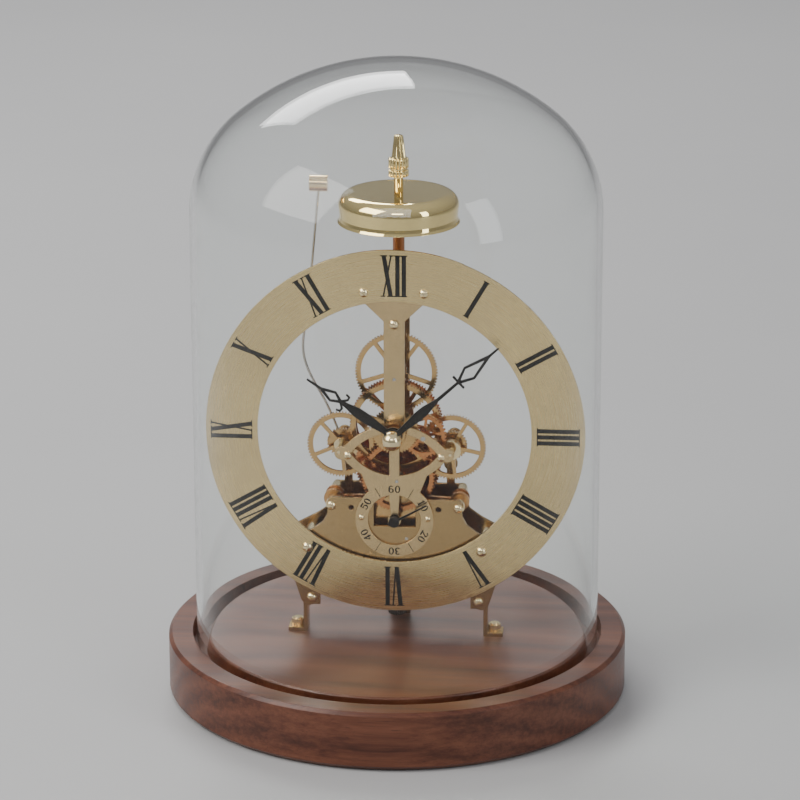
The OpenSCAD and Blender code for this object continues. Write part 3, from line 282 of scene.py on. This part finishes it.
def glass():
    """Clear glass with a breath of green. Lamps shine straight through it onto the movement."""
    m = Material("dome_glass")
    film = m.noise(m.position((0.03, 0.03, 0.03)), detail=4, roughness=0.7)
    tint = m.mix(m.spread(film, 0, 1), (0.975, 0.992, 0.984), (0.985, 0.997, 0.992))
    m.surface(Base_Color=tint, Roughness=0.0, IOR=1.30, Transmission_Weight=1.0)
    clear = m.add("ShaderNodeBsdfTransparent")
    clear.inputs["Color"].default_value = (0.96, 0.98, 0.97, 1)
    path = m.add("ShaderNodeLightPath")
    through = m.math("MAXIMUM", path.outputs["Is Shadow Ray"], path.outputs["Is Diffuse Ray"])
    both = m.add("ShaderNodeMixShader")
    m.feed(both.inputs[0], through)
    m.feed(both.inputs[1], m.shader.outputs["BSDF"])
    m.feed(both.inputs[2], clear.outputs["BSDF"])
    m.feed(m.output.inputs["Surface"], both.outputs["Shader"])
    return m.data


SLOTS = {
    "walnut": walnut(),
    "felt": felt(),
    "dome_glass": glass(),
    "black_paint": enamel(),
    "dial_gold": metal("dial_gold", (0.80, 0.61, 0.30), 0.26, turned=True, anisotropy=0.85,
                       depth=0.002, patchy=0.05, edge=0.25, tarnish=(0.73, 0.54, 0.26)),
    "plate_gold": metal("plate_gold", (0.68, 0.49, 0.25), 0.20, grain=(1.8, 1.8, 0.08),
                        depth=0.0006, patchy=0.06, edge=0.45, streak=0.12,
                        # painted shade: plate_gold darkened from the front plate's face backward
                        painted_shade_from_y=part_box("front_plate")[0].y - 0.02 * MM),
    "screw_gold": metal("screw_gold", (0.93, 0.77, 0.46), 0.12, grain=(1.2, 1.2, 1.2), edge=0.12),
    "mid_brass": metal("mid_brass", (0.66, 0.37, 0.16), 0.22, grain=(0.12, 2.5, 2.5), edge=0.3),
    "wheel_brass": metal("wheel_brass", (0.68, 0.43, 0.18), 0.15, grain=(0.9, 0.9, 0.9),
                         anisotropy=0.4, edge=0.16),
    "copper_brass": metal("copper_brass", (0.64, 0.27, 0.10), 0.14, grain=(0.9, 0.9, 0.9),
                          anisotropy=0.4, edge=0.16),
    "copper_post": metal("copper_post", (0.42, 0.17, 0.075), 0.24, grain=(2.0, 2.0, 0.1)),
    "bell_gold": metal("bell_gold", (0.95, 0.75, 0.34), 0.045, grain=(0.6, 0.6, 0.6),
                       depth=0.0005, patchy=0.04, edge=0.3, tarnish=(0.88, 0.68, 0.33)),
    "hammer_gold": metal("hammer_gold", (0.86, 0.63, 0.32), 0.13, grain=(0.1, 1.6, 1.6),
                         edge=0.35),
    "steel": metal("steel", (0.56, 0.54, 0.51), 0.20, grain=(1.5, 1.5, 1.5), edge=0.08),
    "blue_steel": metal("blue_steel", (0.10, 0.16, 0.42), 0.22, grain=(1.5, 1.5, 1.5), edge=0.05),
    "knob_black": metal("knob_black", (0.08, 0.065, 0.055), 0.30, grain=(1.5, 1.5, 1.5),
                        edge=0.15),
}
for part in frame["record"]["subparts"]:
    piece = NODES[part["node"]]
    for holder in piece.material_slots:
        holder.material = SLOTS[part["material_slot"]]
    if not piece.material_slots:
        piece.data.materials.append(SLOTS[part["material_slot"]])


# ---------- pieces made here ----------

# How finely the round pieces are cut
DOME_SEGMENTS = 192
FINIAL_SEGMENTS = 144
WIRE_SIDES = 16
WIRE_STEPS = 8


def new_piece(name, mesh, body, slot, stands_for):
    piece = bpy.data.objects.new(name, mesh)
    bpy.context.scene.collection.objects.link(piece)
    mesh.materials.append(SLOTS[slot])
    mesh.shade_smooth()
    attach(piece, body)
    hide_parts(*stands_for)


def lathe(name, profile, axis, segments):
    """A closed solid turned about a vertical axis. profile is a closed loop of (radius, z)."""
    mesh = bpy.data.meshes.new(name)
    shape = bmesh.new()
    columns = []
    for k in range(segments):
        angle = 2 * math.pi * k / segments
        columns.append([
            shape.verts.new((axis.x + r * math.cos(angle), axis.y + r * math.sin(angle), z))
            for r, z in profile
        ])
    for k in range(segments):
        here, there = columns[k], columns[(k + 1) % segments]
        for i in range(len(profile)):
            j = (i + 1) % len(profile)
            shape.faces.new((here[i], there[i], there[j], here[j]))
    bmesh.ops.remove_doubles(shape, verts=shape.verts, dist=1e-7)
    bmesh.ops.dissolve_degenerate(shape, dist=1e-7, edges=shape.edges)
    bmesh.ops.recalc_face_normals(shape, faces=shape.faces)
    shape.to_mesh(mesh)
    shape.free()
    return mesh


def arc(cx, cz, radius, start, end, steps):
    """Points of an arc, in degrees from +r."""
    turn = [math.radians(start + (end - start) * i / steps) for i in range(steps + 1)]
    return [(cx + radius * math.cos(a), cz + radius * math.sin(a)) for a in turn]


def glass_dome():
    """The dome as blown: straight wall, round shoulder, flatter crown and a fire-polished rim."""
    low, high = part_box("glass_dome")
    wall = high.x
    rise = 73 * MM
    shoulder = 58 * MM
    thick = 3 * MM
    spring = high.z - rise
    crown = ((wall - shoulder) ** 2 + rise ** 2 - shoulder ** 2) / (2 * (rise - shoulder))
    crown_z = high.z - crown
    meet = math.degrees(math.atan2(spring - crown_z, wall - shoulder))

    def skin(inset):
        return (arc(wall - shoulder, spring, shoulder - inset, 0, meet, 28)[:-1]
                + arc(0, crown_z, crown - inset, meet, 90, 26))

    rim = arc(wall - thick / 2, low.z + thick / 2, thick / 2, 180, 360, 10)
    walls = [low.z + thick / 2 + (spring - low.z - thick / 2) * i / 8 for i in range(1, 8)]
    outer = [(wall, z) for z in walls] + skin(0)
    inner = [(wall - thick, z) for z in walls] + skin(thick)
    profile = rim + outer[:-1] + [(0, high.z), (0, high.z - thick)] + inner[-2::-1]
    mesh = lathe("dome_glass_shell", profile, Vector((0, 0, 0)), DOME_SEGMENTS)
    new_piece("dome_glass_shell", mesh, "dome", "dome_glass", ["glass_dome"])


def fluted_finial():
    """Finial nut: a plain neck, two fluted bands with a groove between them and a fluted taper."""
    low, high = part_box("bell_finial")
    axis = centre_of("bell_finial")
    height = (high.z - low.z) / MM
    # height above the bell, radius, depth of the flutes and their number
    rings = [
        (0.0, 2.0, 0.0, 18), (0.3, 2.2, 0.0, 18), (7.8, 2.2, 0.0, 18), (7.9, 4.5, 0.5, 18),
        (8.2, 4.95, 0.7, 18), (10.9, 4.95, 0.7, 18), (11.2, 4.5, 0.5, 18), (11.25, 3.6, 0.0, 18),
        (12.05, 3.6, 0.0, 18), (12.1, 4.5, 0.5, 18), (12.4, 4.95, 0.7, 18), (16.2, 4.95, 0.7, 18),
        (16.5, 4.5, 0.5, 18), (16.55, 3.5, 0.3, 9), (17.2, 3.45, 0.7, 9),
        (height - 1.0, 2.35, 0.5, 9), (height - 0.2, 2.15, 0.3, 9), (height, 1.8, 0.1, 9),
    ]
    shape = bmesh.new()
    loops = []
    for z, radius, depth, flutes in rings:
        loops.append([])
        for k in range(FINIAL_SEGMENTS):
            angle = 2 * math.pi * k / FINIAL_SEGMENTS
            r = (radius - depth * (0.5 - 0.5 * math.cos(flutes * angle)) ** 2) * MM
            place = (axis.x + r * math.cos(angle), axis.y + r * math.sin(angle), low.z + z * MM)
            loops[-1].append(shape.verts.new(place))
    for here, there in zip(loops, loops[1:]):
        for k in range(FINIAL_SEGMENTS):
            n = (k + 1) % FINIAL_SEGMENTS
            shape.faces.new((here[k], here[n], there[n], there[k]))
    shape.faces.new(loops[-1])
    shape.faces.new(list(reversed(loops[0])))
    bmesh.ops.recalc_face_normals(shape, faces=shape.faces)
    mesh = bpy.data.meshes.new("fluted_finial")
    shape.to_mesh(mesh)
    shape.free()
    new_piece("fluted_finial", mesh, "clock_frame", "bell_gold", ["bell_finial"])
    mesh.set_sharp_from_angle(angle=math.radians(35))


# Centre line of the hammer's wire and its radius: millimetres right of the hub and above it
WIRE_PATH = [
    (-30.5, -14), (-33.5, -6), (-38, 4), (-43, 13), (-47, 22), (-48.6, 31), (-47.6, 42),
    (-45.6, 56), (-43.8, 74), (-42, 93), (-40.6, 108), (-40, 113),
]
WIRE_RADIUS = 0.65


def smooth_path(points, steps):
    """A Catmull-Rom curve through points, with steps pieces between each two."""
    ends = [points[0], *points, points[-1]]
    curve = []
    for a, b, c, d in zip(ends, ends[1:], ends[2:], ends[3:]):
        for k in range(steps):
            t = k / steps
            curve.append(0.5 * (2 * b + (c - a) * t + (2 * a - 5 * b + 4 * c - d) * t ** 2
                                + (3 * b - a - 3 * c + d) * t ** 3))
    curve.append(points[-1])
    return curve


def hammer_wire():
    """The hammer's wire as a smooth bent rod."""
    depth = centre_of("hammer_wire").y
    bends = [Vector((HUB.x + x * MM, depth, HUB.z + z * MM)) for x, z in WIRE_PATH]
    path = smooth_path(bends, WIRE_STEPS)
    shape = bmesh.new()
    rings = []
    for k, point in enumerate(path):
        along = (path[min(k + 1, len(path) - 1)] - path[max(k - 1, 0)]).normalized()
        across = along.cross(Vector((0, 1, 0)))
        rings.append([])
        for i in range(WIRE_SIDES):
            angle = 2 * math.pi * i / WIRE_SIDES
            offset = across * math.cos(angle) + Vector((0, math.sin(angle), 0))
            rings[-1].append(shape.verts.new(point + offset * WIRE_RADIUS * MM))
    for here, there in zip(rings, rings[1:]):
        for i in range(WIRE_SIDES):
            n = (i + 1) % WIRE_SIDES
            shape.faces.new((here[i], here[n], there[n], there[i]))
    shape.faces.new(rings[-1])
    shape.faces.new(list(reversed(rings[0])))
    bmesh.ops.recalc_face_normals(shape, faces=shape.faces)
    mesh = bpy.data.meshes.new("hammer_wire_bent")
    shape.to_mesh(mesh)
    shape.free()
    new_piece("hammer_wire_bent", mesh, "hammer", "steel", ["hammer_wire"])


glass_dome()
fluted_finial()
hammer_wire()


# ---------- floor, light and camera ----------

FLOOR_HALF = 14.0               # metres, so low views don't see its edge
WORLD_BELOW, WORLD_ABOVE = 0.26, 0.62
WORLD_STRENGTH = 0.9

# The photo's viewing angle, slightly from the right and above, through a long lens
CAMERA_DEGREES = (5.0, 18.3, -0.1)        # turn, rise and roll
CAMERA_AIM = (1.64, 0, 148.85)            # millimetres
CAMERA_DISTANCE = 1.889                   # metres
FOCAL_PIXELS = 3850
PICTURE_PIXELS = 800
SENSOR_WIDTH = 36                         # millimetres


def floor():
    mesh = bpy.data.meshes.new("studio_floor")
    corners = [(x * FLOOR_HALF, y * FLOOR_HALF, 0) for x, y in ((-1, -1), (1, -1), (1, 1), (-1, 1))]
    mesh.from_pydata(corners, [], [(0, 1, 2, 3)])
    plane = bpy.data.objects.new("studio_floor", mesh)
    bpy.context.scene.collection.objects.link(plane)
    m = Material("studio_floor")
    cloud = m.noise(m.position((0.004, 0.004, 0.004)), detail=3)
    m.surface(Base_Color=m.mix(cloud, (0.43, 0.43, 0.435), (0.47, 0.47, 0.47)), Roughness=0.6)
    mesh.materials.append(m.data)


def softbox(name, place, size, power, colour=(1, 1, 1)):
    data = bpy.data.lights.new(name, "AREA")
    data.shape = "RECTANGLE"
    data.size, data.size_y = size
    data.energy = power
    data.color = colour
    lamp = bpy.data.objects.new(name, data)
    bpy.context.scene.collection.objects.link(lamp)
    lamp.location = place
    towards = HUB - Vector(place)
    lamp.rotation_euler = towards.to_track_quat("-Z", "Y").to_euler()


def studio():
    floor()
    softbox("key", (-1.5, -0.9, 1.6), (1.5, 1.5), 44, (1.0, 0.98, 0.95))
    softbox("fill", (1.7, -1.1, 0.9), (0.5, 1.4), 12, (0.94, 0.97, 1.0))
    softbox("front", (0.1, -2.4, 1.9), (1.0, 0.4), 9)
    softbox("back", (-0.6, 1.5, 1.5), (1.2, 0.6), 22)
    world = bpy.data.worlds.new("studio")
    bpy.context.scene.world = world
    world.use_nodes = True
    tree = world.node_tree
    background = tree.nodes["Background"]
    coords = tree.nodes.new("ShaderNodeTexCoord")
    split = tree.nodes.new("ShaderNodeSeparateXYZ")
    ramp = tree.nodes.new("ShaderNodeValToRGB")
    tree.links.new(coords.outputs["Generated"], split.inputs["Vector"])
    tree.links.new(split.outputs["Z"], ramp.inputs["Fac"])
    tree.links.new(ramp.outputs["Color"], background.inputs["Color"])
    for element, level in zip(ramp.color_ramp.elements, (WORLD_BELOW, WORLD_ABOVE)):
        element.color = (level, level, level * 1.02, 1)
    background.inputs["Strength"].default_value = WORLD_STRENGTH


def camera():
    azimuth, elevation, roll = (math.radians(a) for a in CAMERA_DEGREES)
    aim = Vector(CAMERA_AIM) * MM
    back = Vector((math.sin(azimuth) * math.cos(elevation),
                   -math.cos(azimuth) * math.cos(elevation), math.sin(elevation)))
    data = bpy.data.cameras.new("camera")
    data.sensor_width = SENSOR_WIDTH
    data.lens = FOCAL_PIXELS / PICTURE_PIXELS * SENSOR_WIDTH
    view = bpy.data.objects.new("camera", data)
    bpy.context.scene.collection.objects.link(view)
    turn = (-back).to_track_quat("-Z", "Y").to_matrix() @ Matrix.Rotation(roll, 3, "Z")
    view.matrix_world = Matrix.Translation(aim + back * CAMERA_DISTANCE) @ turn.to_4x4()
    bpy.context.scene.camera = view


studio()
camera()
